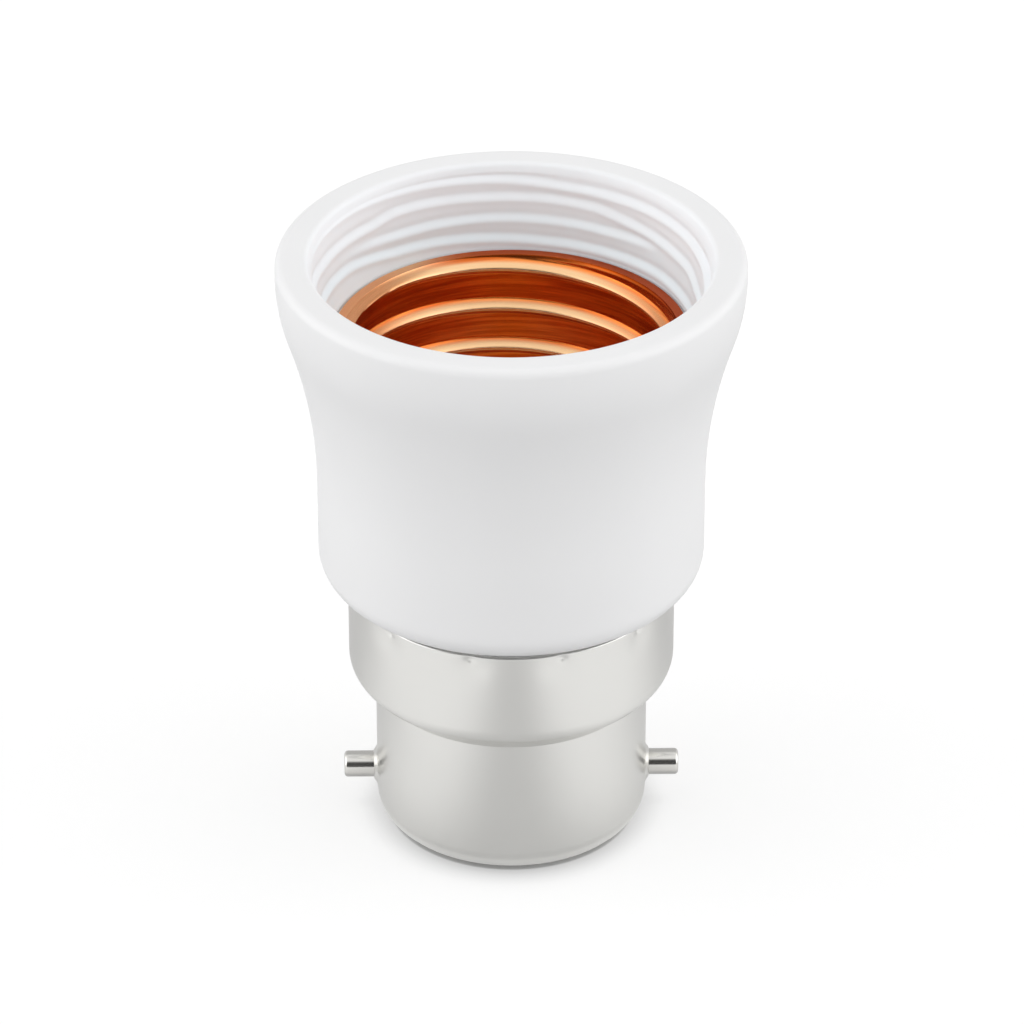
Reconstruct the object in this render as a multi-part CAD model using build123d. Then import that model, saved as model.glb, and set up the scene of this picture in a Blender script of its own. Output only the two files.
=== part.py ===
"""Lamp socket adapter: a two-pin bayonet cap below, a screw socket for a bulb above.

Millimetres. +Z points up through the socket's mouth, the origin is the middle of the cap's end,
and the bayonet pins lie along X.
"""
import os
from math import atan, ceil, cos, hypot, radians, sqrt, tan

from build123d import *

# Heights that stack up from the end of the cap to the rim
barrel_height = 13.2
skirt_height = 9.1
seam_gap = 0.1
floor_thickness = 2.2
shell_height = 19.35
mouth_depth = 6.95

# Body moulding
waist_step = 2.31
flare_width = 3.0
body_wall = 1.456
waist_height = 15.7
rim_band = 3.75
flare_low_share = 0.74
flare_high_share = 0.24
base_round = 2.3
rim_edge = 0.3
lip_edge = 0.35
mouth_taper = 1.25
mouth_step = 0.5
mouth_lead_in = 0.8
ridge_count = 4
groove_depth = 0.45
spigot_wall = 1.5
spigot_end_gap = 0.7

# Screw shell and its rolled thread
thread_pitch = 3.629
thread_depth = 1.1
crest_flat = 1.5
crest_drop = 0.75
shell_wall = 0.35
flange_width = 0.2
thread_height = 10.9
lug_width = 3.0
lug_drop = 3.2
lug_clench = 2.4
lug_angles = (90, 210, 330)

# Bayonet cap; the barrel's radius drives all the others
barrel_radius = 11.0
skirt_step = 2.15
cap_wall = 0.4
end_round = 2.1
end_ring_width = 0.9
shoulder_round = 2.0
crimp_count = 11
crimp_turn = -15.5
crimp_drop = 0.65
crimp_width = 0.9
crimp_depth = 0.3
crimp_taper = 35.0

# Bayonet pins
pin_radius = 1.08
pin_shank_radius = 0.8
pin_reach = 2.7
pin_height = 3.75
pin_edge = 0.25
pin_head_radius = 1.6
pin_head_thickness = 0.5
collar_radius = 2.0
collar_height = 0.35
collar_rim = 0.25

# Insulating disc and the two contacts in it
disc_thickness = 1.5
recess_depth = 0.6
recess_margin = 0.6
hub_radius = 7.2
hub_height = 1.6
contact_spacing = 8.0
eyelet_head_radius = 2.4
eyelet_head_thickness = 0.45
eyelet_tube_radius = 1.3
eyelet_bore_radius = 0.9
eyelet_stand = 0.4
dome_radius = 1.9
dome_height = 0.4
dome_flat = 1.0

# Sprung leaf, its rivet and its tag
leaf_thickness = 0.4
leaf_width = 6.0
leaf_corner = 1.4
leaf_bend = 1.0
leaf_crown = 2.0
leaf_rise = 28.0
rivet_offset = 7.2
foot_margin = 2.4
bend_offset = 3.0
leaf_tip_drop = 0.7
leaf_tip_reach = 3.0
rivet_radius = 1.1
rivet_head_radius = 1.9
rivet_head_height = 0.8
rivet_head_edge = 0.5
rivet_clench_radius = 1.6
rivet_clench_height = 0.5
tag_thickness = 0.5
tag_radius = 2.3
tag_width = 2.6
tag_drop = 3.2

# Leads and their solder joints
core_radius = 0.4
sleeve_radius = 0.85
core_lap = 2.2
core_stub = 0.3
strip_length = 1.6
joint_width = 1.6
joint_height = 1.5

# Clearances
press_gap = 0.02
fit_gap = 0.05
seat_gap = 0.1
wire_gap = 0.1
pocket_gap = 0.15
hole_gap = 0.1
slot_gap = 0.2
overlap = 0.3

# Levels and radii that follow from the sizes above
shoulder_z = barrel_height
skirt_top_z = shoulder_z + skirt_height
base_z = skirt_top_z + seam_gap
floor_z = base_z + floor_thickness
flange_z = floor_z + shell_height
ledge_z = flange_z - shell_wall
rim_z = flange_z + mouth_depth
lead_in_z = rim_z - mouth_lead_in
spigot_end_z = shoulder_z + shoulder_round + spigot_end_gap
crimp_z = skirt_top_z - crimp_drop
disc_top_z = cap_wall + disc_thickness
recess_z = cap_wall + recess_depth
hub_top_z = disc_top_z + hub_height
eyelet_end_z = recess_z - eyelet_head_thickness
eyelet_top_z = hub_top_z + eyelet_stand
tag_z = base_z - tag_thickness / 2
leaf_z = floor_z + leaf_thickness / 2

bevel_share = 2 - sqrt(2)
skirt_radius = barrel_radius + skirt_step
waist_radius = skirt_radius + waist_step
rim_radius = waist_radius + flare_width
flank_angle = atan(2 * thread_depth / (thread_pitch - crest_flat))
pocket_radius = waist_radius - body_wall
shell_radius = pocket_radius - pocket_gap
thread_major_radius = shell_radius - shell_wall / cos(flank_angle)
thread_minor_radius = thread_major_radius - thread_depth
flange_radius = shell_radius + flange_width
mouth_low_radius = flange_radius + seat_gap
mouth_high_radius = mouth_low_radius + mouth_taper
lip_radius = mouth_high_radius + mouth_step
skirt_bore = skirt_radius - cap_wall
barrel_bore = barrel_radius - cap_wall
spigot_radius = skirt_bore - crimp_depth - fit_gap
spigot_bore = spigot_radius - spigot_wall
lug_radius = spigot_bore - shell_wall / 2 - slot_gap
foot_radius = lug_radius + shell_wall / 2
end_hole_radius = barrel_radius - end_round - end_ring_width
recess_radius = end_hole_radius - recess_margin
pin_end = barrel_radius + pin_reach
collar_end = barrel_radius + collar_height
contact_y = contact_spacing / 2
tag_y = -contact_y - core_radius - wire_gap - tag_thickness / 2
lug_y = contact_y + core_radius + wire_gap + shell_wall / 2
lug_z = base_z - fit_gap - shell_wall / 2
lug_end_z = base_z - lug_drop
tag_end_z = base_z - tag_drop
thread_end_z = ledge_z - thread_height
thread_turns = ceil(thread_height / thread_pitch) + 2
thread_start_z = flange_z - crest_drop - thread_pitch / 4 - thread_pitch * (thread_turns - 1)


def lathe(*corners, at=(0, 0)):
    """Turn a closed outline of (radius, height, corner round) about an upright axis."""
    points = [(radius, height) for radius, height, rounding in corners]
    rounds = [rounding for radius, height, rounding in corners]
    outline = FilletPolyline(*points, radius=rounds, close=True)
    return Pos(at[0], at[1]) * revolve(make_face(Plane.XZ * outline), Axis.Z)


def strip(points, rounds, width, thickness):
    """Sheet strip bent along a middle line of (y, z) points, its width lying along X."""
    path = FilletPolyline(*[(0, y, z) for y, z in points], radius=rounds)
    end = Plane(path @ 0, x_dir=(1, 0, 0), z_dir=path % 0)
    return sweep(end * Rectangle(width, thickness), path=path, transition=Transition.RIGHT)


def slab(low, high):
    """Round block wider than the adapter between two levels."""
    return Pos(0, 0, low) * Cylinder(2 * rim_radius, high - low, align=(Align.CENTER, Align.CENTER, Align.MIN))


def thread_side(*crest, root_radius):
    """One side of the thread's section from below the thread to above it; crest lists (radius, shift in height)."""
    corners = []
    for turn in range(thread_turns):
        crest_z = thread_start_z + turn * thread_pitch
        corners += [(radius, crest_z + shift) for radius, shift in crest]
        corners.append((root_radius, crest_z + thread_pitch / 2))
    return corners


def screw_turn(inner, outer):
    """Carry the section between two sides one full turn along the thread, as two half turns."""
    section = make_face(Plane.XZ * Polyline(*inner, *reversed(outer), close=True))
    path = Helix(thread_pitch, thread_pitch / 2, thread_minor_radius, center=(0, 0, thread_start_z))
    half = sweep(section, path=path, is_frenet=True)
    return half + Pos(0, 0, thread_pitch / 2) * Rot(Z=180) * half


def make_body():
    """White moulding: spigot, floor, pocket for the screw shell, ridged mouth and flared wall."""
    low_z = base_z + waist_height
    high_z = rim_z - rim_band
    run = hypot(high_z - low_z, rim_radius - waist_radius)
    half_turn = atan((rim_radius - waist_radius) / (high_z - low_z)) / 2
    low_round = flare_low_share * run / tan(half_turn)
    high_round = flare_high_share * run / tan(half_turn)
    body = lathe(
        (0, base_z, 0),
        (spigot_bore, base_z, 0),
        (spigot_bore, spigot_end_z, 0),
        (spigot_radius, spigot_end_z, 0),
        (spigot_radius, base_z, 0),
        (waist_radius, base_z, base_round),
        (waist_radius, low_z, low_round),
        (rim_radius, high_z, high_round),
        (rim_radius, rim_z - rim_edge, 0),
        (rim_radius - rim_edge, rim_z, 0),
        (lip_radius + lip_edge, rim_z, 0),
        (lip_radius, rim_z - lip_edge, 0),
        (lip_radius, lead_in_z, 0),
        (mouth_high_radius, lead_in_z, 0),
        *mouth_ridges(),
        (mouth_low_radius, ledge_z, 0),
        (pocket_radius, ledge_z, 0),
        (pocket_radius, floor_z, 0),
        (0, floor_z, 0),
    )
    rivet_hole = Pos(0, -rivet_offset) * Cylinder(rivet_radius + hole_gap, 2 * rim_z)
    slot = Pos(lug_radius) * Box(shell_wall + 2 * slot_gap, lug_width + 2 * slot_gap, 2 * rim_z)
    return body - [rivet_hole, *(Rot(Z=angle) * slot for angle in lug_angles)]


def mouth_ridges():
    """Corners of the tapered mouth from the lip down: the bottom of a groove, then the crest of a ridge."""
    spacing = (lead_in_z - flange_z) / ridge_count
    taper = (mouth_high_radius - mouth_low_radius) / ridge_count
    corners = []
    for ridge in range(ridge_count):
        groove_z = lead_in_z - (ridge + 0.5) * spacing
        groove_radius = mouth_high_radius - (ridge + 0.5) * taper + groove_depth
        crest_z = lead_in_z - (ridge + 1) * spacing
        crest_radius = mouth_high_radius - (ridge + 1) * taper
        corners += [(groove_radius, groove_z, 0), (crest_radius, crest_z, 0)]
    return corners


def make_screw_shell():
    """Copper shell: rolled thread in an even wall, turned-out top, plain foot turned in, three lugs."""
    sharp_radius = thread_minor_radius - crest_flat / 2 * tan(flank_angle)
    outer_radius = thread_minor_radius + shell_wall
    outer_half = crest_flat / 2 - shell_wall * tan(flank_angle / 2)
    inner_side = thread_side((sharp_radius, 0), root_radius=thread_major_radius)
    outer_side = thread_side((outer_radius, -outer_half), (outer_radius, outer_half), root_radius=shell_radius)
    bore_side_radius = sharp_radius - 2 * overlap
    bore_side = [(bore_side_radius, inner_side[0][1]), (bore_side_radius, inner_side[-1][1])]
    wall = screw_turn(inner_side, outer_side) & slab(thread_end_z, ledge_z)
    flange = lathe(
        (sharp_radius - overlap, ledge_z, 0),
        (flange_radius, ledge_z, 0),
        (flange_radius, flange_z, 0),
        (sharp_radius - overlap, flange_z, 0),
    )
    flange -= screw_turn(bore_side, inner_side)
    threaded = wall + flange - Cylinder(thread_minor_radius, 4 * rim_z)
    foot_bore = thread_minor_radius + shell_wall / 2
    foot = lathe(
        (foot_radius, floor_z, 0),
        (foot_bore + shell_wall, floor_z, 0),
        (foot_bore + shell_wall, thread_end_z - shell_wall, 0),
        (shell_radius - shell_wall / 2, thread_end_z - shell_wall, 0),
        (shell_radius - shell_wall / 2, thread_end_z, 0),
        (foot_bore, thread_end_z, 0),
        (foot_bore, floor_z + shell_wall, 0),
        (foot_radius, floor_z + shell_wall, 0),
    )
    middle_z = floor_z + shell_wall / 2
    root = [(foot_radius + overlap, middle_z), (lug_radius, middle_z), (lug_radius, lug_z)]
    lead_lug = strip([*root, (lug_y, lug_z), (lug_y, lug_end_z)], 0, lug_width, shell_wall)
    clenched_lug = strip([*root, (lug_radius - lug_clench, lug_z)], 0, lug_width, shell_wall)
    lugs = [lead_lug, clenched_lug, clenched_lug]
    return threaded + foot + [Rot(Z=angle - 90) * lug for angle, lug in zip(lug_angles, lugs)]


def cap_outside():
    """Filled form of the drawn cap."""
    return lathe(
        (0, 0, 0),
        (barrel_radius, 0, end_round),
        (barrel_radius, shoulder_z, 0),
        (skirt_radius, shoulder_z, shoulder_round),
        (skirt_radius, skirt_top_z, 0),
        (0, skirt_top_z, 0),
    )


def cap_inside():
    """Hollow of the cap, with a bevel that touches each inner round."""
    end_bevel = bevel_share * (end_round - cap_wall)
    shoulder_bevel = bevel_share * (shoulder_round - cap_wall)
    return lathe(
        (0, cap_wall, 0),
        (barrel_bore - end_bevel, cap_wall, 0),
        (barrel_bore, cap_wall + end_bevel, 0),
        (barrel_bore, shoulder_z + cap_wall, 0),
        (skirt_bore - shoulder_bevel, shoulder_z + cap_wall, 0),
        (skirt_bore, shoulder_z + cap_wall + shoulder_bevel, 0),
        (skirt_bore, skirt_top_z + overlap, 0),
        (0, skirt_top_z + overlap, 0),
    )


def crimp_punch(width, depth):
    """Blunt four-sided punch that enters the skirt on +X at the crimp's height."""
    mouth = Plane((skirt_radius, 0, crimp_z), x_dir=(0, 1, 0), z_dir=(-1, 0, 0)) * Rectangle(width, width)
    return extrude(mouth, depth, taper=crimp_taper) + extrude(mouth, -overlap, taper=-crimp_taper)


def make_cap_shell():
    """Drawn nickel cap: skirt with crimp dents, shoulder, barrel with pin collars, turned-in end."""
    shell = cap_outside() - cap_inside() - Cylinder(end_hole_radius, 4 * cap_wall)
    dent = crimp_punch(crimp_width, crimp_depth)
    bump = crimp_punch(crimp_width + 2 * cap_wall, crimp_depth + cap_wall)
    inside = Cylinder(skirt_radius - cap_wall / 2, 2 * skirt_top_z)
    places = [Rot(Z=crimp_turn - 90 + 360 * k / crimp_count) for k in range(crimp_count)]
    shell += [place * (bump & inside) for place in places]
    shell -= [place * dent for place in places]
    root_x = sqrt(barrel_radius**2 - collar_radius**2) - cap_wall / 4
    collar_length = collar_end - root_x
    collar = Pos(root_x) * Rot(Y=90) * Cone(
        collar_radius, pin_radius + collar_rim, collar_length, align=(Align.CENTER, Align.CENTER, Align.MIN)
    )
    collar = Pos(0, 0, pin_height) * collar
    hole = Pos(0, 0, pin_height) * Rot(Y=90) * Cylinder(pin_shank_radius + press_gap, 2 * pin_end)
    shell += [collar, Rot(Z=180) * collar]
    return shell - hole


def make_pin(side):
    """Bayonet pin with a shank through its collar and a flat head inside; side is +1 or -1 along X."""
    seat = sqrt(barrel_bore**2 - pin_head_radius**2) - press_gap
    pin = lathe(
        (0, seat - pin_head_thickness, 0),
        (pin_head_radius, seat - pin_head_thickness, 0),
        (pin_head_radius, seat, 0),
        (pin_shank_radius, seat, 0),
        (pin_shank_radius, collar_end + hole_gap, 0),
        (pin_radius, collar_end + hole_gap, 0),
        (pin_radius, pin_end - pin_edge, 0),
        (pin_radius - pin_edge, pin_end, 0),
        (0, pin_end, 0),
    )
    return Pos(0, 0, pin_height) * Rot(Y=90 * side) * pin


def make_cap_insulator():
    """Disc on the cap's turned-in end, with a hub above and a recess below for the contacts."""
    disc_radius = barrel_bore - fit_gap
    end_bevel = bevel_share * (end_round - cap_wall)
    disc = lathe(
        (0, recess_z, 0),
        (recess_radius, recess_z, 0),
        (recess_radius, cap_wall, 0),
        (disc_radius - end_bevel, cap_wall, 0),
        (disc_radius, cap_wall + end_bevel, 0),
        (disc_radius, disc_top_z, 0),
        (hub_radius, disc_top_z, 0),
        (hub_radius, hub_top_z, 0),
        (0, hub_top_z, 0),
    )
    hole = Cylinder(eyelet_tube_radius + fit_gap, 4 * hub_top_z)
    return disc - [Pos(0, contact_y) * hole, Pos(0, -contact_y) * hole]


def make_eyelet(y):
    """Tubular contact pressed into the hub, with its head below the disc."""
    return lathe(
        (eyelet_bore_radius, eyelet_end_z, 0),
        (eyelet_head_radius, eyelet_end_z, 0),
        (eyelet_head_radius, recess_z, 0),
        (eyelet_tube_radius, recess_z, 0),
        (eyelet_tube_radius, eyelet_top_z, 0),
        (eyelet_bore_radius, eyelet_top_z, 0),
        at=(0, y),
    )


def make_contact_solder(y):
    """Solder dome on an eyelet's head, which the lead's end stands on."""
    dome_z = eyelet_end_z - dome_height
    return lathe(
        (0, dome_z, 0),
        (dome_flat, dome_z, 0),
        (dome_radius, eyelet_end_z, 0),
        (0, eyelet_end_z, 0),
        at=(0, y),
    )


def make_centre_contact():
    """Sprung leaf: foot under the rivet, one bend, a tongue that rises past the axis, a crown."""
    bend_y = bend_offset - rivet_offset
    tip_z = leaf_z - bend_y * tan(radians(leaf_rise))
    leaf = strip(
        [(-rivet_offset - foot_margin, leaf_z), (bend_y, leaf_z), (0, tip_z),
         (leaf_tip_reach, tip_z - leaf_tip_drop)],
        [leaf_bend, leaf_crown], leaf_width, leaf_thickness,
    )
    length = rivet_offset + foot_margin + leaf_tip_reach
    plan = Pos(0, leaf_tip_reach - length / 2) * RectangleRounded(leaf_width, length, leaf_corner)
    leaf = leaf & extrude(plan, rim_z)
    return leaf - Pos(0, -rivet_offset) * Cylinder(rivet_radius + fit_gap, 4 * rim_z)


def make_contact_rivet():
    """Rivet that holds the leaf and the tag on the floor."""
    head_z = floor_z + leaf_thickness
    end_z = base_z - tag_thickness
    return lathe(
        (0, end_z - rivet_clench_height, 0),
        (rivet_clench_radius, end_z - rivet_clench_height, 0),
        (rivet_clench_radius, end_z, 0),
        (rivet_radius, end_z, 0),
        (rivet_radius, head_z, 0),
        (rivet_head_radius, head_z, 0),
        (rivet_head_radius, head_z + rivet_head_height - rivet_head_edge, 0),
        (rivet_head_radius - rivet_head_edge, head_z + rivet_head_height, 0),
        (0, head_z + rivet_head_height, 0),
        at=(0, -rivet_offset),
    )


def make_solder_tag():
    """Tag under the floor with a turned-down tail for the centre lead."""
    tail = strip([(-rivet_offset, tag_z), (tag_y, tag_z), (tag_y, tag_end_z)], 0, tag_width, tag_thickness)
    eye = Pos(0, -rivet_offset, tag_z) * Cylinder(tag_radius, tag_thickness)
    return eye + tail - Pos(0, -rivet_offset, tag_z) * Cylinder(rivet_radius + fit_gap, 2 * tag_thickness)


def make_core(y, top_z):
    """Bare core of a lead, from its upper solder joint down through an eyelet to the solder dome."""
    low_z = eyelet_end_z
    return lathe((0, low_z, 0), (core_radius, low_z, 0), (core_radius, top_z, 0), (0, top_z, 0), at=(0, y))


def make_sleeve(y, top_z):
    """Insulating sleeve on a lead's core."""
    low_z = eyelet_top_z + strip_length
    bore_radius = core_radius + press_gap
    return lathe(
        (bore_radius, low_z, 0),
        (sleeve_radius, low_z, 0),
        (sleeve_radius, top_z, 0),
        (bore_radius, top_z, 0),
        at=(0, y),
    )


def make_joint(y, side, low_z):
    """Solder between a lead's core and the sheet beside it; side is the way from core to sheet along Y."""
    depth = core_radius + wire_gap - press_gap
    block = Pos(0, y + side * depth / 2, low_z + joint_height / 2) * Box(joint_width, depth, joint_height)
    return block - Pos(0, y) * Cylinder(core_radius + press_gap, 4 * rim_z)


pieces = {
    "body": make_body(),
    "screw_shell": make_screw_shell(),
    "centre_contact": make_centre_contact(),
    "contact_rivet": make_contact_rivet(),
    "solder_tag": make_solder_tag(),
    "cap_shell": make_cap_shell(),
    "bayonet_pin_left": make_pin(-1),
    "bayonet_pin_right": make_pin(1),
    "cap_insulator": make_cap_insulator(),
    "contact_eyelet_front": make_eyelet(-contact_y),
    "contact_eyelet_rear": make_eyelet(contact_y),
    "contact_solder_front": make_contact_solder(-contact_y),
    "contact_solder_rear": make_contact_solder(contact_y),
    "shell_lead_core": make_core(contact_y, lug_end_z + core_lap),
    "shell_lead_sleeve": make_sleeve(contact_y, lug_end_z - core_stub),
    "centre_lead_core": make_core(-contact_y, tag_end_z + core_lap),
    "centre_lead_sleeve": make_sleeve(-contact_y, tag_end_z - core_stub),
    "lug_solder": make_joint(contact_y, 1, lug_end_z + core_stub),
    "tag_solder": make_joint(-contact_y, -1, tag_end_z + core_stub),
}

os.makedirs("parts", exist_ok=True)
for name, piece in pieces.items():
    export_step(piece, f"parts/{name}.step")
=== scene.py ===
"""Looks of the lamp socket adapter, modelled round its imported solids. Sizes below are in millimetres."""

from math import acos, atan, atan2, cos, degrees, exp, floor, hypot, pi, radians, sin, tan

import bpy
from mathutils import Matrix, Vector


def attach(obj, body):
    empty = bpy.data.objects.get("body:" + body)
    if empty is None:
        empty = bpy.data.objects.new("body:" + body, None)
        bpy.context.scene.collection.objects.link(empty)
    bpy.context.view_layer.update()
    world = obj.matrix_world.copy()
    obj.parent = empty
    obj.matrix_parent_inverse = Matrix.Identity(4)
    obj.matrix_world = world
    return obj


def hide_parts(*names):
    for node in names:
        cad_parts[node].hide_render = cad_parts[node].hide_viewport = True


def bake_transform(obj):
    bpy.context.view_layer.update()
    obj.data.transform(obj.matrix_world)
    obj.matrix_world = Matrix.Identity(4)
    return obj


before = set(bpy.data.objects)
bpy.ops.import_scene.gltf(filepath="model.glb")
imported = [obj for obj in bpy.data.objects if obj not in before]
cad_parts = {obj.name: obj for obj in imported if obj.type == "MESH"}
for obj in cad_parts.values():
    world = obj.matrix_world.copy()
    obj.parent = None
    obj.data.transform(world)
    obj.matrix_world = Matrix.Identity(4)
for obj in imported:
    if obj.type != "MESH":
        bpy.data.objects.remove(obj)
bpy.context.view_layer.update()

MM = 0.001

# Levels and radii that the solids have
RIM_Z = 50.9
FLANGE_Z = 43.95
LEDGE_Z = 43.6
FLOOR_Z = 24.6
BASE_Z = 22.4
RIM_RADIUS = 18.46
WAIST_RADIUS = 15.46
POCKET_RADIUS = 13.95
SKIRT_RADIUS = 13.15
BARREL_RADIUS = 11.0
SHOULDER_Z = 13.2
SHOULDER_ROUND = 2.0
SKIRT_TOP_Z = 22.08
UNDERSIDE_Z = 22.76
CAP_WALL = 0.4
PIN_Z = 3.75
PIN_RADIUS = 1.08
PIN_END = 13.7
THREAD_PITCH = 3.629
THREAD_MINOR = 12.42
THREAD_DEPTH = 0.74
CREST_Z = 42.97
CREST_HALF = 0.78
SHELL_WALL = 0.35
THREAD_END_Z = 32.7
SHELL_LIP_RADIUS = 13.3
FLANGE_RADIUS = 14.05
FOOT_RADIUS = 10.7
SPIGOT_RADIUS = 12.4
SPIGOT_BORE = 10.9
SPIGOT_END_Z = 15.9
END_ROUND = 2.1
END_HOLE_RADIUS = 8.0
SKIN = 0.02


def ease(value, low, high):
    """Smooth step from 0 at low to 1 at high."""
    share = min(max((value - low) / (high - low), 0.0), 1.0)
    return share * share * (3 - 2 * share)


def rounded(*corners, steps=6):
    """Profile points of (radius, height, round) corners, each round drawn as an arc."""
    line = []
    for place, (radius, height, rounding) in enumerate(corners):
        here = Vector((radius, height))
        if not rounding:
            line.append((radius, height))
            continue
        back = (Vector(corners[place - 1][:2]) - here).normalized()
        ahead = (Vector(corners[(place + 1) % len(corners)][:2]) - here).normalized()
        half = acos(back.dot(ahead)) / 2
        centre = here + (back + ahead).normalized() * (rounding / sin(half))
        first = (here + back * (rounding / tan(half)) - centre).normalized()
        last = (here + ahead * (rounding / tan(half)) - centre).normalized()
        for step in range(steps + 1):
            line.append(tuple(centre + first.slerp(last, step / steps) * rounding))
    return line


def arc(centre_radius, centre_z, radius, first, last, steps):
    """Corners along an arc of a profile, from one angle to another in degrees."""
    angles = [radians(first + (last - first) * step / steps) for step in range(steps + 1)]
    return [(centre_radius + radius * cos(angle), centre_z + radius * sin(angle), 0) for angle in angles]


def select_none():
    """Leave nothing selected and nothing in edit mode."""
    if bpy.context.object and bpy.context.object.mode != "OBJECT":
        bpy.ops.object.mode_set(mode="OBJECT")
    bpy.ops.object.select_all(action="DESELECT")


def begin(name):
    """Name the primitive that was just added."""
    piece = bpy.context.object
    piece.name = name
    piece.data.name = name
    return piece


def close_up(piece, sharp=32):
    """Put the place into the mesh, merge doubles, turn faces outward, smooth all but sharp edges."""
    select_none()
    piece.select_set(True)
    bpy.context.view_layer.objects.active = piece
    bpy.ops.object.transform_apply(location=True, rotation=True, scale=True)
    bpy.ops.object.mode_set(mode="EDIT")
    bpy.ops.mesh.select_all(action="SELECT")
    bpy.ops.mesh.remove_doubles(threshold=0.002 * MM)
    bpy.ops.mesh.normals_make_consistent(inside=False)
    bpy.ops.object.mode_set(mode="OBJECT")
    bpy.ops.object.shade_smooth_by_angle(angle=radians(sharp))
    return piece


def turned(name, profile, segments):
    """Spin a profile of (radius, height) points about the upright axis."""
    select_none()
    bpy.ops.mesh.primitive_plane_add(size=MM, location=(0, 0, 0))
    piece = begin(name)
    bpy.ops.object.mode_set(mode="EDIT")
    bpy.ops.mesh.merge(type="CENTER")
    radius, height = profile[0]
    bpy.ops.transform.translate(value=(radius * MM, 0, height * MM))
    for next_radius, next_height in profile[1:]:
        step = ((next_radius - radius) * MM, 0, (next_height - height) * MM)
        bpy.ops.mesh.extrude_vertices_move(TRANSFORM_OT_translate={"value": step})
        radius, height = next_radius, next_height
    bpy.ops.mesh.select_all(action="SELECT")
    bpy.ops.mesh.spin(steps=segments, angle=2 * pi, center=(0, 0, 0), axis=(0, 0, 1))
    bpy.ops.object.mode_set(mode="OBJECT")
    return close_up(piece)


def pressed(piece, move):
    """Move each point of a finished piece: move gets and gives a point in millimetres."""
    for point in piece.data.vertices:
        point.co = Vector(move(point.co / MM)) * MM
    piece.data.update()
    return piece


def apply_modifier(piece, kind, **settings):
    """Add a modifier, set it and apply it."""
    select_none()
    bpy.context.view_layer.objects.active = piece
    modifier = piece.modifiers.new(kind.lower(), kind)
    for name, value in settings.items():
        setattr(modifier, name, value)
    bpy.ops.object.modifier_apply(modifier=modifier.name)
    return piece


def joined(name, pieces):
    """Join pieces into the first one."""
    select_none()
    for piece in pieces:
        piece.select_set(True)
    bpy.context.view_layer.objects.active = pieces[0]
    bpy.ops.object.join()
    pieces[0].name = name
    return pieces[0]


class Level:
    """A socket of a node tree, with sums written as sums."""

    def __init__(self, finish, socket):
        self.finish = finish
        self.socket = socket

    def sum(self, operation, first, second=0.0):
        return self.finish.add("ShaderNodeMath", {"operation": operation}, {0: first, 1: second})

    def __add__(self, other):
        return self.sum("ADD", self, other)

    def __radd__(self, other):
        return self.sum("ADD", other, self)

    def __sub__(self, other):
        return self.sum("SUBTRACT", self, other)

    def __rsub__(self, other):
        return self.sum("SUBTRACT", other, self)

    def __mul__(self, other):
        return self.sum("MULTIPLY", self, other)

    def __rmul__(self, other):
        return self.sum("MULTIPLY", other, self)

    def __truediv__(self, other):
        return self.sum("DIVIDE", self, other)

    def __pow__(self, other):
        return self.sum("POWER", self, other)

    def __abs__(self):
        return self.sum("ABSOLUTE", self)

    def most(self, other):
        return self.sum("MAXIMUM", self, other)


class Finish:
    """Node tree of a material or of the world."""

    def __init__(self, owner):
        owner.use_nodes = True
        self.tree = owner.node_tree
        self.tree.nodes.clear()

    def add(self, kind, settings=None, inputs=None, out=0):
        """Add a node, set it, then fill its sockets with values or links."""
        node = self.tree.nodes.new(kind)
        for name, value in (settings or {}).items():
            setattr(node, name, value)
        for name, value in (inputs or {}).items():
            if isinstance(value, Level):
                self.tree.links.new(value.socket, node.inputs[name])
            else:
                node.inputs[name].default_value = value
        return Level(self, node.outputs[out]) if node.outputs else None

    def place(self, scale):
        """Object coordinates, scaled."""
        point = self.add("ShaderNodeTexCoord", out="Object")
        return self.add("ShaderNodeMapping", None, {"Vector": point, "Scale": scale})

    def noise(self, scale, detail=3.0, rough=0.5, place=(1, 1, 1)):
        """Noise from 0 to 1 over the piece."""
        return self.add(
            "ShaderNodeTexNoise", {"noise_dimensions": "3D"},
            {"Vector": self.place(place), "Scale": scale, "Detail": detail, "Roughness": rough},
        )

    def turned_place(self):
        """Distance from the upright axis, height and place across, in millimetres."""
        point = self.add("ShaderNodeTexCoord", out="Object")
        x, y, z = (self.add("ShaderNodeSeparateXYZ", None, {0: point}, out=axis) for axis in "XYZ")
        return (x * x + y * y) ** 0.5 / MM, z / MM, x / MM

    def ramp(self, value, low, high):
        """Smooth step of a value from 0 at low to 1 at high."""
        return self.add(
            "ShaderNodeMapRange", {"interpolation_type": "SMOOTHSTEP"},
            {"Value": value, "From Min": low, "From Max": high},
        )

    def mix(self, share, first, second):
        """Colour between two colours."""
        return self.add(
            "ShaderNodeMix", {"data_type": "RGBA"}, {0: share, 6: first, 7: second}, out=2
        )

    def bump(self, height, strength, distance):
        """Normal bent by a height."""
        return self.add(
            "ShaderNodeBump", None, {"Strength": strength, "Distance": distance, "Height": height}
        )

    def surface(self, **inputs):
        """Principled surface to the output; underscores in names stand for spaces."""
        named = {name.replace("_", " "): value for name, value in inputs.items()}
        shader = self.add("ShaderNodeBsdfPrincipled", None, named)
        self.add("ShaderNodeOutputMaterial", None, {"Surface": shader})


def colour(red, green, blue):
    """Opaque colour."""
    return (red, green, blue, 1.0)


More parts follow.
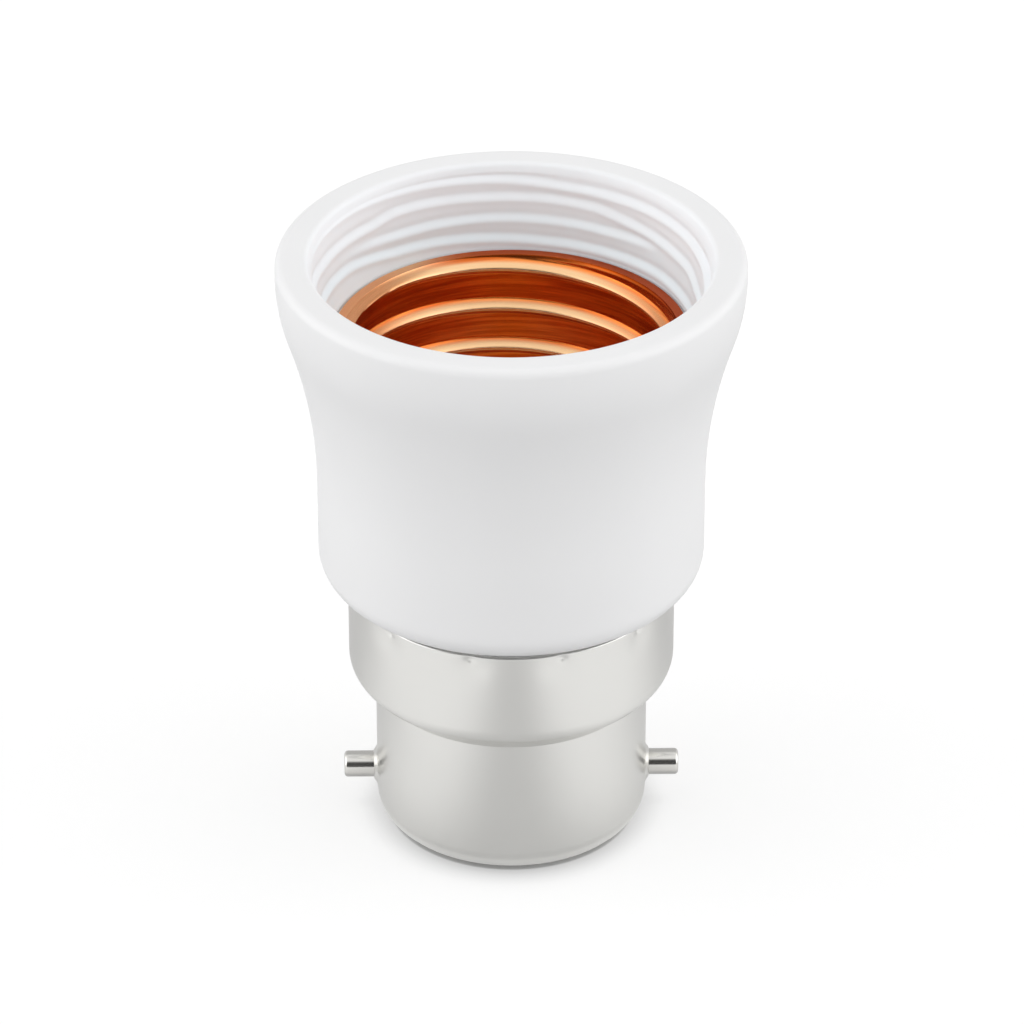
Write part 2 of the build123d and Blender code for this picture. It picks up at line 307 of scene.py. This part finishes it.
def white_plastic():
    """Smooth moulded white plastic with a low sheen; inside the mouth its colour is painted lighter and
    bluer against the copper's pink bounce light.
    """
    material = bpy.data.materials.new("white_plastic")
    finish = Finish(material)
    clouds = finish.noise(90.0, 2.0)
    grain = finish.noise(2600.0, 2.0)
    radius, height, _ = finish.turned_place()
    # Painted light: inside the mouth the colour is lighter and bluer, more so deeper down, to cancel the
    # pink light bounced from the copper.
    inside = finish.ramp(radius, 16.3, 15.7) * finish.ramp(height, 43.0, 44.0)
    depth = finish.ramp(height, 48.5, 44.5)
    painted_mouth_tint = finish.mix(depth, colour(0.88, 0.91, 0.935), colour(0.86, 0.94, 0.975))
    outer = finish.mix(clouds, colour(0.845, 0.845, 0.85), colour(0.875, 0.875, 0.88))
    finish.surface(
        Base_Color=finish.mix(inside, outer, painted_mouth_tint),
        Roughness=0.36 + clouds * 0.08,
        IOR=1.46,
        Normal=finish.bump(grain, 0.06, 0.02 * MM),
    )
    return material


def copper():
    """Bright copper-plated sheet with fine rolling lines and darker, redder thread roots; painted shade
    turns it deeper red towards the sides and darkens its turned-out edge, most on the right, and painted
    light keeps the roots bright at the upper left.
    """
    material = bpy.data.materials.new("copper")
    finish = Finish(material)
    lines = finish.noise(300.0, 3.0, 0.6, place=(0.35, 0.35, 9.0))
    radius, height, across = finish.turned_place()
    # Painted shade: the colour turns deeper and redder towards both sides.
    sides = finish.ramp(abs(across), 5, 11)
    middle = finish.mix(finish.noise(160.0, 2.0), colour(0.94, 0.59, 0.31), colour(0.97, 0.64, 0.36))
    bright = finish.mix(sides, middle, colour(0.82, 0.36, 0.16))
    # Painted light: towards the upper left the thread's roots keep the bright colour. Elsewhere the roots
    # take a darker, redder colour.
    lit_upper_left = finish.ramp(height, 43.25, 43.5) * finish.ramp(across, -3, -9)
    darker_roots = finish.ramp(radius, 12.75, 13.1) * (1 - lit_upper_left)
    # Painted shade: the turned-out edge is darkened, not at the left and most on the right.
    turned_out = finish.ramp(radius, 13.05, SHELL_LIP_RADIUS) * finish.ramp(height, 42.9, 43.3)
    edge = turned_out * finish.ramp(across, -9, -1)
    streaks = finish.ramp(lines, 0.35, 0.65)
    root = finish.mix(streaks, colour(0.68, 0.14, 0.025), colour(1.0, 0.3, 0.065))
    plain = finish.mix(darker_roots, bright, root)
    right = finish.ramp(across, 3, 10)
    rim = finish.mix(right, colour(0.58, 0.1, 0.012), colour(0.45, 0.06, 0.002))
    finish.surface(
        Base_Color=finish.mix(edge, plain, rim),
        Metallic=1.0,
        Roughness=0.2 + lines * 0.1,
        Normal=finish.bump(lines, 0.12, 0.03 * MM),
    )
    return material


def nickel():
    """Satin nickel plate with faint upright drawing marks."""
    material = bpy.data.materials.new("nickel_plate")
    finish = Finish(material)
    marks = finish.noise(700.0, 3.0, 0.6, place=(1.0, 1.0, 0.05))
    clouds = finish.noise(130.0, 3.0)
    finish.surface(
        Base_Color=finish.mix(clouds, colour(0.735, 0.73, 0.708), colour(0.775, 0.77, 0.745)),
        Metallic=1.0,
        Roughness=0.25 + marks * 0.05 + clouds * 0.05,
        Normal=finish.bump(marks, 0.05, 0.02 * MM),
    )
    return material


def bright_nickel():
    """Turned and plated pins, brighter than the cap, with painted shade making them darker below their axis.
    """
    material = bpy.data.materials.new("bright_nickel")
    finish = Finish(material)
    marks = finish.noise(900.0, 3.0, 0.6, place=(0.1, 1.0, 1.0))
    _, height, _ = finish.turned_place()
    bright = finish.mix(marks, colour(0.70, 0.69, 0.66), colour(0.78, 0.77, 0.74))
    # Painted shade: below the pin's axis the colour is darker.
    under = finish.ramp(height, PIN_Z - 0.1, PIN_Z - 0.6)
    finish.surface(
        Base_Color=finish.mix(under, bright, colour(0.5, 0.495, 0.48)),
        Metallic=1.0,
        Roughness=0.14 + marks * 0.08,
    )
    return material


def spring_brass():
    """Bright rolled brass."""
    material = bpy.data.materials.new("spring_brass")
    finish = Finish(material)
    grain = finish.noise(900.0, 3.0, 0.6, place=(1.0, 0.08, 1.0))
    finish.surface(
        Base_Color=finish.mix(grain, colour(0.74, 0.52, 0.22), colour(0.83, 0.62, 0.30)),
        Metallic=1.0,
        Roughness=0.26 + grain * 0.12,
    )
    return material


def dark_insulator():
    """Dark moulded insulator with a fine mottle."""
    material = bpy.data.materials.new("dark_insulator")
    finish = Finish(material)
    mottle = finish.noise(700.0, 4.0)
    finish.surface(
        Base_Color=finish.mix(mottle, colour(0.012, 0.012, 0.013), colour(0.04, 0.04, 0.042)),
        Roughness=0.38 + mottle * 0.2,
        Normal=finish.bump(mottle, 0.1, 0.05 * MM),
    )
    return material


def solder():
    """Dull grey solder."""
    material = bpy.data.materials.new("solder")
    finish = Finish(material)
    frost = finish.noise(1500.0, 4.0, 0.6)
    finish.surface(
        Base_Color=finish.mix(frost, colour(0.52, 0.52, 0.51), colour(0.68, 0.68, 0.66)),
        Metallic=1.0,
        Roughness=0.3 + frost * 0.2,
        Normal=finish.bump(frost, 0.15, 0.05 * MM),
    )
    return material


def lead_sleeve():
    """Pale woven sleeve of the leads."""
    material = bpy.data.materials.new("lead_sleeve")
    finish = Finish(material)
    weave = finish.noise(3000.0, 2.0, 0.5, place=(1.0, 1.0, 0.4))
    finish.surface(
        Base_Color=finish.mix(weave, colour(0.62, 0.59, 0.50), colour(0.78, 0.75, 0.67)),
        Roughness=0.75 + weave * 0.15,
        Normal=finish.bump(weave, 0.4, 0.06 * MM),
    )
    return material


WHITE, COPPER, NICKEL, PINS = white_plastic(), copper(), nickel(), bright_nickel()
BRASS, INSULATOR, SOLDER, SLEEVE = spring_brass(), dark_insulator(), solder(), lead_sleeve()


def dress(piece, material, slot, *nodes, body="adapter"):
    """Give a new piece its material and its place among the solids."""
    piece.data.materials.clear()
    piece.data.materials.append(material)
    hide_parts(*nodes)
    if body:
        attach(piece, body)
    return piece


# Ridges inside the white mouth: (angle from +X, height, strength) along each
MOUTH_RIDGES = [
    [(-25, 48.4, 0), (0, 48.6, 1), (25, 49.03, 1), (44, 49.2, 1), (74, 49.27, 1), (89, 49.57, 1),
     (112, 49.83, 1), (142, 50.1, 0.8), (174, 50.2, 0.4), (195, 50.3, 0)],
    [(-60, 45.0, 0), (-20, 45.7, 0.9), (11, 46.42, 1), (20, 47.0, 1), (30, 47.12, 1), (45, 47.46, 1),
     (54, 47.7, 1), (62, 48.0, 1), (78, 48.14, 1), (96, 48.17, 1), (118, 48.36, 1), (127, 48.36, 1),
     (136, 48.05, 1), (152, 48.08, 1), (165, 48.15, 1), (182, 48.7, 1), (220, 49.3, 1), (270, 49.8, 0.8),
     (300, 50.1, 0)],
    [(36, 46.5, 0), (46, 46.45, 0.8), (58, 46.35, 1), (78, 46.43, 1), (96, 46.5, 1), (126, 46.5, 1),
     (137, 46.7, 0.6), (150, 46.95, 0)],
    [(-60, 44.2, 0), (0, 44.45, 0.9), (20, 44.57, 1), (35, 44.75, 1), (57, 44.7, 1), (78, 44.71, 1),
     (96, 44.88, 1), (110, 45.04, 1), (129, 45.22, 1), (138, 45.55, 1), (148, 45.92, 1), (166, 46.13, 1),
     (200, 46.5, 1), (260, 47.3, 1), (320, 48.1, 1), (360, 48.6, 1), (385, 48.9, 0)],
]
RIDGE_HEIGHT = 0.13
RIDGE_HALF = 0.42
MOUTH_LOW_Z = FLANGE_Z
MOUTH_HIGH_Z = 50.2
MOUTH_LOW_RADIUS = 14.3
MOUTH_HIGH_RADIUS = 15.72


def along(ridge, angle):
    """Height and strength of a ridge at an angle, or None where it does not reach."""
    for (low, low_z, low_gain), (high, high_z, high_gain) in zip(ridge, ridge[1:]):
        if low <= angle <= high:
            share = (angle - low) / (high - low)
            return low_z + (high_z - low_z) * share, low_gain + (high_gain - low_gain) * share
    return None


def mouth_relief(angle, height):
    """How far the mouth's wall lies behind its cone: a ridge stands in below its line, falls back above."""
    depth = 0.0
    for ridge in MOUTH_RIDGES:
        for turn in (-360, 0, 360):
            found = along(ridge, angle + turn)
            if found:
                line_z, strength = found
                above = (height - line_z) / RIDGE_HALF
                wave = above * exp((1 - 2 * above * above) / 2) * 2 ** 0.5
                depth += strength * RIDGE_HEIGHT * wave
    return depth


def make_body():
    """White moulding with soft edges and ridges that run out inside its mouth."""
    flare_low_z = BASE_Z + 15.7
    flare_high_z = RIM_Z - 3.75
    run = hypot(flare_high_z - flare_low_z, RIM_RADIUS - WAIST_RADIUS)
    bend = tan(atan((RIM_RADIUS - WAIST_RADIUS) / (flare_high_z - flare_low_z)) / 2)
    hub = 0.6
    recess_z = UNDERSIDE_Z + 0.6
    steps = 80
    wall = []
    for step in range(steps + 1):
        share = step / steps
        wall.append((
            MOUTH_LOW_RADIUS + (MOUTH_HIGH_RADIUS - MOUTH_LOW_RADIUS) * share,
            MOUTH_LOW_Z + (MOUTH_HIGH_Z - MOUTH_LOW_Z) * share, 0,
        ))
    profile = rounded(
        (hub, BASE_Z, 0),
        (SPIGOT_BORE, BASE_Z, 0.3),
        (SPIGOT_BORE, SPIGOT_END_Z, 0.2),
        (SPIGOT_RADIUS, SPIGOT_END_Z, 0.3),
        (SPIGOT_RADIUS, recess_z, 0),
        (SKIRT_RADIUS, recess_z, 0),
        (SKIRT_RADIUS, UNDERSIDE_Z, 0),
        (WAIST_RADIUS, UNDERSIDE_Z, 2.3),
        (WAIST_RADIUS, flare_low_z, 0.74 * run / bend),
        (RIM_RADIUS, flare_high_z, 0.24 * run / bend),
        (RIM_RADIUS, RIM_Z, 0.75),
        (15.95, RIM_Z, 0.55),
        *reversed(wall),
        (MOUTH_LOW_RADIUS, LEDGE_Z, 0),
        (POCKET_RADIUS, LEDGE_Z, 0),
        (POCKET_RADIUS, FLOOR_Z, 0.3),
        (hub, FLOOR_Z, 0),
        steps=10,
    )
    body = turned("white_body", profile, 288)
    select_none()
    bpy.context.view_layer.objects.active = body
    bpy.ops.object.mode_set(mode="EDIT")
    bpy.ops.mesh.select_all(action="DESELECT")
    bpy.ops.mesh.select_non_manifold()
    bpy.ops.mesh.fill_holes(sides=0)
    bpy.ops.mesh.select_all(action="SELECT")
    bpy.ops.mesh.normals_make_consistent(inside=False)
    bpy.ops.object.mode_set(mode="OBJECT")

    def ridged(point):
        x, y, z = point
        radius = hypot(x, y)
        in_height = MOUTH_LOW_Z - 0.01 <= z <= MOUTH_HIGH_Z + 0.01
        in_radius = MOUTH_LOW_RADIUS - 0.1 <= radius <= MOUTH_HIGH_RADIUS + 0.1
        if not (in_height and in_radius):
            return point
        fade = ease(z, MOUTH_LOW_Z, MOUTH_LOW_Z + 0.3) * (1 - ease(z, MOUTH_HIGH_Z - 0.35, MOUTH_HIGH_Z))
        sunk = mouth_relief(degrees(atan2(y, x)), z) * fade
        grown = (radius + sunk) / radius
        return (x * grown, y * grown, z)

    pressed(body, ridged)
    return dress(body, WHITE, "white_plastic", "body")


def thread_radius(angle, height):
    """Inner radius of the rolled thread: round crests and wide straight roots along a right-hand helix."""
    crest_z = CREST_Z + THREAD_PITCH * (angle - 90) / 360
    turn = (height - crest_z) / THREAD_PITCH
    turn -= floor(turn + 0.5)
    return THREAD_MINOR + THREAD_DEPTH * ease(abs(turn) * THREAD_PITCH, 0.0, CREST_HALF)


def make_screw_shell():
    """Copper shell: round rolled thread, turned-out edge, plain foot turned in, three lugs."""
    top_z = FLANGE_Z - SKIN
    foot_bore = THREAD_MINOR + SHELL_WALL / 2
    steps = 150
    wall = []
    for step in range(steps + 1):
        wall.append((foot_bore, THREAD_END_Z + (top_z - THREAD_END_Z) * step / steps, 0))
    profile = rounded(
        (FOOT_RADIUS, FLOOR_Z + SHELL_WALL, 0),
        (foot_bore, FLOOR_Z + SHELL_WALL, 0.5),
        *wall,
        (SHELL_LIP_RADIUS, top_z, 0),
        (FLANGE_RADIUS, top_z, 0),
        steps=5,
    )
    shell = turned("copper_shell", profile, 256)

    def rolled(point):
        x, y, z = point
        radius = hypot(x, y)
        if z < THREAD_END_Z - 0.01 or radius > THREAD_MINOR + 0.4:
            return point
        share = ease(z, THREAD_END_Z, THREAD_END_Z + 1.2)
        aim = thread_radius(degrees(atan2(y, x)), z)
        lip = ease(z, FLANGE_Z - 0.5, FLANGE_Z)
        aim = aim + (SHELL_LIP_RADIUS - aim) * lip * lip
        grown = (radius + (aim - radius) * share) / radius
        return (x * grown, y * grown, z)

    pressed(shell, rolled)
    apply_modifier(shell, "SOLIDIFY", thickness=(SHELL_WALL - SKIN) * MM, offset=-1.0)
    lugs = [make_lug(90, True), make_lug(210, False), make_lug(330, False)]
    shell = joined("copper_shell", [close_up(shell), *lugs])
    return dress(shell, COPPER, "copper", "screw_shell")


def make_lug(angle, long):
    """Lug through the floor, folded under it; the long one is turned down for a lead."""
    start, radius, tail, half_width = 10.95, 10.525, 4.675, 1.5
    tail_drop, clench, under_gap = 3.2, 2.4, 0.05
    foot_z = FLOOR_Z + SHELL_WALL / 2
    fold_z = BASE_Z - under_gap - SHELL_WALL / 2
    line = [(start, foot_z), (radius, foot_z), (radius, fold_z)]
    line += [(tail, fold_z), (tail, BASE_Z - tail_drop)] if long else [(radius - clench, fold_z)]
    select_none()
    bpy.ops.mesh.primitive_plane_add(size=MM, location=(0, 0, 0))
    lug = begin("lug")
    bpy.ops.object.mode_set(mode="EDIT")
    bpy.ops.mesh.merge(type="CENTER")
    bpy.ops.transform.translate(value=(-half_width * MM, line[0][0] * MM, line[0][1] * MM))
    for (y, z), (next_y, next_z) in zip(line, line[1:]):
        step = (0, (next_y - y) * MM, (next_z - z) * MM)
        bpy.ops.mesh.extrude_vertices_move(TRANSFORM_OT_translate={"value": step})
    bpy.ops.mesh.select_all(action="SELECT")
    bpy.ops.mesh.extrude_edges_move(TRANSFORM_OT_translate={"value": (2 * half_width * MM, 0, 0)})
    bpy.ops.object.mode_set(mode="OBJECT")
    apply_modifier(lug, "SOLIDIFY", thickness=SHELL_WALL * MM, offset=0.0)
    apply_modifier(lug, "BEVEL", width=0.12 * MM, segments=2, limit_method="ANGLE")
    lug.rotation_euler = (0, 0, radians(angle - 90))
    return close_up(lug)


CRIMP_COUNT = 11
CRIMP_TURN = -15.5
CRIMP_Z = 21.65
CRIMP_HALF = 0.33
CRIMP_DEPTH = 0.17
CRIMP_DISH_HALF = 1.4
CRIMP_DISH_DEPTH = 0.16
CRIMPED_Z = 17
COLLAR_HEIGHT = 0.32
COLLAR_INNER = 1.05
COLLAR_OUTER = 1.9
COLLAR_CURVE = 1.6


def make_cap_shell():
    """Drawn nickel cap: soft crimp dents, rounded shoulder and end, collars for the pins."""
    skirt_bore = SKIRT_RADIUS - CAP_WALL
    barrel_bore = BARREL_RADIUS - CAP_WALL
    low_run = [(BARREL_RADIUS, END_ROUND + 0.1 * step, 0) for step in range(1, 42)]
    high_run = [(SKIRT_RADIUS, 18.6 + 0.12 * step, 0) for step in range(28)]
    shoulder_centre = (SKIRT_RADIUS - SHOULDER_ROUND, SHOULDER_Z + SHOULDER_ROUND)
    profile = rounded(
        (END_HOLE_RADIUS, 0.0, 0.1),
        (BARREL_RADIUS, 0.0, END_ROUND),
        *low_run,
        (BARREL_RADIUS, SHOULDER_Z - 0.8, 0.15),
        (BARREL_RADIUS + 0.55, SHOULDER_Z, 0.02),
        *arc(*shoulder_centre, SHOULDER_ROUND, -78, 0, 12),
        *high_run,
        (SKIRT_RADIUS, SKIRT_TOP_Z, 0.12),
        (skirt_bore, SKIRT_TOP_Z, 0.12),
        (skirt_bore, SHOULDER_Z + CAP_WALL, 1.6),
        (barrel_bore, SHOULDER_Z + CAP_WALL, 0.3),
        (barrel_bore, CAP_WALL, 1.7),
        (END_HOLE_RADIUS, CAP_WALL, 0.1),
        steps=7,
    )
    cap = turned("nickel_cap", [*profile, profile[0]], 440)
    dents = [radians(CRIMP_TURN - 90 + 360 * k / CRIMP_COUNT) for k in range(CRIMP_COUNT)]

    def drawn(point):
        x, y, z = point
        radius = hypot(x, y)
        if z > CRIMPED_Z:
            angle = atan2(y, x)
            sunk = 0.0
            for dent in dents:
                gap = atan2(sin(angle - dent), cos(angle - dent)) * SKIRT_RADIUS
                up, dish_up = z - CRIMP_Z, z - CRIMP_Z + 0.6
                away = (gap / CRIMP_HALF) ** 2 + (up / (CRIMP_HALF * 0.8)) ** 2
                dish = (gap / CRIMP_DISH_HALF) ** 2 + (dish_up / (CRIMP_DISH_HALF * 0.8)) ** 2
                sunk += CRIMP_DEPTH * exp(-away) + CRIMP_DISH_DEPTH * exp(-dish)
            grown = (radius - sunk) / radius
            return (x * grown, y * grown, z)
        if abs(z - PIN_Z) < COLLAR_OUTER and radius > BARREL_RADIUS - 0.1:
            away = hypot(y, z - PIN_Z)
            raised = COLLAR_HEIGHT * (1 - ease(away, COLLAR_INNER, COLLAR_OUTER)) ** COLLAR_CURVE
            return (x + (raised if x > 0 else -raised), y, z)
        return point

    pressed(cap, drawn)
    return dress(cap, NICKEL, "nickel_plate", "cap_shell")


def make_pin(name, side):
    """Bayonet pin with a rounded end, a neck through the barrel's wall and a riveted head inside."""
    head_radius, neck_radius = 1.6, 0.8
    head_end, neck_end, pin_start = 9.98, 10.45, 10.9
    profile = rounded(
        (0, head_end, 0),
        (head_radius, head_end, 0.1),
        (head_radius, neck_end, 0.1),
        (neck_radius, neck_end, 0),
        (neck_radius, pin_start, 0),
        (PIN_RADIUS, pin_start, 0),
        (PIN_RADIUS, PIN_END, 0.3),
        (0, PIN_END, 0),
        steps=8,
    )
    pin = turned(name, profile, 64)
    pin.rotation_euler = (0, radians(90 * side), 0)
    pin.location = (0, 0, PIN_Z * MM)
    return dress(close_up(pin), PINS, "nickel_plate", name.replace("pin", "bayonet_pin"))


def make_leaf():
    """Sprung leaf: foot, bend, rising tongue and crown, with rounded corners."""
    half_width, foot_y, tip_y = 3.0, -9.6, 3.0
    leaf_z, bend_y, rise = FLOOR_Z + 0.2, -4.2, tan(radians(28))
    crown_z = leaf_z - bend_y * rise
    corner, thickness, crown_soft, bend_soft = 1.4, 0.4, 0.55, 0.5
    tip_fall = 0.7 / 3
    select_none()
    bpy.ops.mesh.primitive_grid_add(
        x_subdivisions=12, y_subdivisions=63, size=MM, location=(0, (foot_y + tip_y) / 2 * MM, 0)
    )
    leaf = begin("contact_leaf")
    leaf.scale = (2 * half_width, tip_y - foot_y, 1)
    close_up(leaf)

    def bent(point):
        x, y, _ = point
        over = corner - min(y - foot_y, tip_y - y)
        if over > 0:
            cut = max(corner ** 2 - over ** 2, 0.0) ** 0.5
            x *= (half_width - corner + cut) / half_width
        rising = leaf_z + rise * max(0.0, y - bend_y)
        falling = crown_z - tip_fall * y
        blend = ease(y, -crown_soft, crown_soft)
        height = rising + (min(rising, falling) - rising) * blend
        near = abs(y - bend_y)
        if near < bend_soft:
            height += rise * (bend_soft - near) ** 2 / 2
        return (x, y, height)

    pressed(leaf, bent)
    apply_modifier(leaf, "SOLIDIFY", thickness=thickness * MM, offset=0.0)
    close_up(leaf)
    dress(leaf, BRASS, "spring_brass", "centre_contact", body=None)
    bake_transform(leaf)
    return leaf


make_body()
make_screw_shell()
make_cap_shell()
make_pin("pin_left", -1)
make_pin("pin_right", 1)
make_leaf()

SOLID_FINISHES = {
    "contact_rivet": BRASS, "solder_tag": BRASS, "contact_eyelet_front": BRASS, "contact_eyelet_rear": BRASS,
    "cap_insulator": INSULATOR, "contact_solder_front": SOLDER, "contact_solder_rear": SOLDER,
    "lug_solder": SOLDER, "tag_solder": SOLDER, "shell_lead_core": COPPER, "centre_lead_core": COPPER,
    "shell_lead_sleeve": SLEEVE, "centre_lead_sleeve": SLEEVE,
}
for node, material in SOLID_FINISHES.items():
    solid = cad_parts[node]
    solid.data.materials.clear()
    solid.data.materials.append(material)


def seen(finish):
    """1 for the rays that show the backdrop: to the camera, in gloss and through glass."""
    direct = finish.add("ShaderNodeLightPath", out="Is Camera Ray")
    gloss = finish.add("ShaderNodeLightPath", out="Is Glossy Ray")
    through = finish.add("ShaderNodeLightPath", out="Is Transmission Ray")
    return direct.most(gloss).most(through)


def make_floor():
    """Plain pale floor that is white round the object and keeps its shadow, with a painted contact shadow
    close to it and, in reflections only, a dimmed glow with painted pools of light at the front sides and a
    painted lighter ring round the foot.
    """
    select_none()
    bpy.ops.mesh.primitive_plane_add(size=6.0, location=(0, 0, 0))
    plane = begin("floor")
    material = bpy.data.materials.new("pale_floor")
    finish = Finish(material)
    pale = finish.add("ShaderNodeBsdfDiffuse", None, {"Color": colour(0.5, 0.5, 0.5)})
    near, wide = (
        finish.add("ShaderNodeAmbientOcclusion", None, {"Distance": reach * MM}, out="AO")
        for reach in (0.4, 2.8)
    )
    point = finish.add("ShaderNodeTexCoord", out="Object")
    x, y = (finish.add("ShaderNodeSeparateXYZ", None, {0: point}, out=axis) for axis in "XY")
    # Painted reflection: in gloss the floor's glow is dimmed, with painted pools of light at the front sides
    # and a painted lighter ring round the foot.
    painted_light_pools = finish.ramp(abs(x), 3 * MM, 21 * MM) * finish.ramp(y, 22 * MM, -12 * MM)
    foot = finish.ramp((x * x + y * y) ** 0.5, 12.2 * MM, 10.8 * MM)
    gloss = finish.add("ShaderNodeLightPath", out="Is Glossy Ray")
    # Painted shadow: close to the object the glow that the camera sees is dimmed by ambient occlusion.
    open_floor = finish.ramp(near, 0.55, 1) * 0.5 + finish.ramp(wide, 0.2, 1) * 0.5
    level = open_floor * (1 - gloss) + (0.32 + 0.66 * painted_light_pools + 0.35 * foot) * gloss
    glow = finish.add(
        "ShaderNodeEmission", None, {"Color": colour(1, 1, 1), "Strength": seen(finish) * level * 0.53}
    )
    both = finish.add("ShaderNodeAddShader", None, {0: pale, 1: glow})
    finish.add("ShaderNodeOutputMaterial", None, {"Surface": both})
    plane.data.materials.append(material)


def make_world():
    """Soft studio surround: white where it is seen, a little darker in front of the object."""
    world = bpy.data.worlds.new("studio")
    bpy.context.scene.world = world
    finish = Finish(world)
    way = finish.add("ShaderNodeTexCoord", out="Generated")
    x, y, z = (finish.add("ShaderNodeSeparateXYZ", None, {0: way}, out=axis) for axis in "XYZ")
    surround = 0.44 + x * x * 1.35 + 0.62 * (1 - z)
    room = finish.ramp(y, -0.52, -0.7) * finish.ramp(z, -0.03, 0.03) * finish.ramp(z, 0.9, 0.6)
    behind = finish.ramp(y, 0.25, 0.6)
    gloss = finish.add("ShaderNodeLightPath", out="Is Glossy Ray")
    finish.add("ShaderNodeOutputWorld", None, {
        "Surface": finish.add("ShaderNodeBackground", None, {
            "Color": colour(1, 1, 1),
            "Strength": surround.most(seen(finish)) * (1 - gloss * (0.93 * room + 0.45 * behind)),
        })
    })


def make_lamp(name, place, aim, size, watts):
    """Soft square lamp turned to a point."""
    lamp = bpy.data.lights.new(name, "AREA")
    lamp.size = size
    lamp.energy = watts
    holder = bpy.data.objects.new(name, lamp)
    bpy.context.scene.collection.objects.link(holder)
    holder.location = place
    holder.rotation_euler = (Vector(place) - Vector(aim)).to_track_quat("Z", "Y").to_euler()


def make_camera():
    """Camera at the photograph's place, fitted to the rim, the cap and the pins."""
    distance, rise, turn = 0.45, radians(30.79), radians(-0.85)
    aim = Vector((0.06, 0, 27.68)) * MM
    lens = bpy.data.cameras.new("camera")
    lens.sensor_width = 36.0
    lens.lens = 197.74
    lens.clip_start = 0.02
    lens.clip_end = 20.0
    holder = bpy.data.objects.new("camera", lens)
    bpy.context.scene.collection.objects.link(holder)
    back = Vector((sin(turn) * cos(rise), -cos(turn) * cos(rise), sin(rise)))
    holder.location = aim + back * distance
    holder.rotation_euler = back.to_track_quat("Z", "Y").to_euler()
    bpy.context.scene.camera = holder


make_floor()
make_world()
make_lamp("left_lamp", (-0.7, -0.3, 0.5), (0, 0, 0.03), 0.9, 0.4)
make_lamp("right_lamp", (0.7, -0.3, 0.5), (0, 0, 0.03), 0.9, 0.4)
make_camera()
bpy.context.scene.view_settings.view_transform = "Standard"
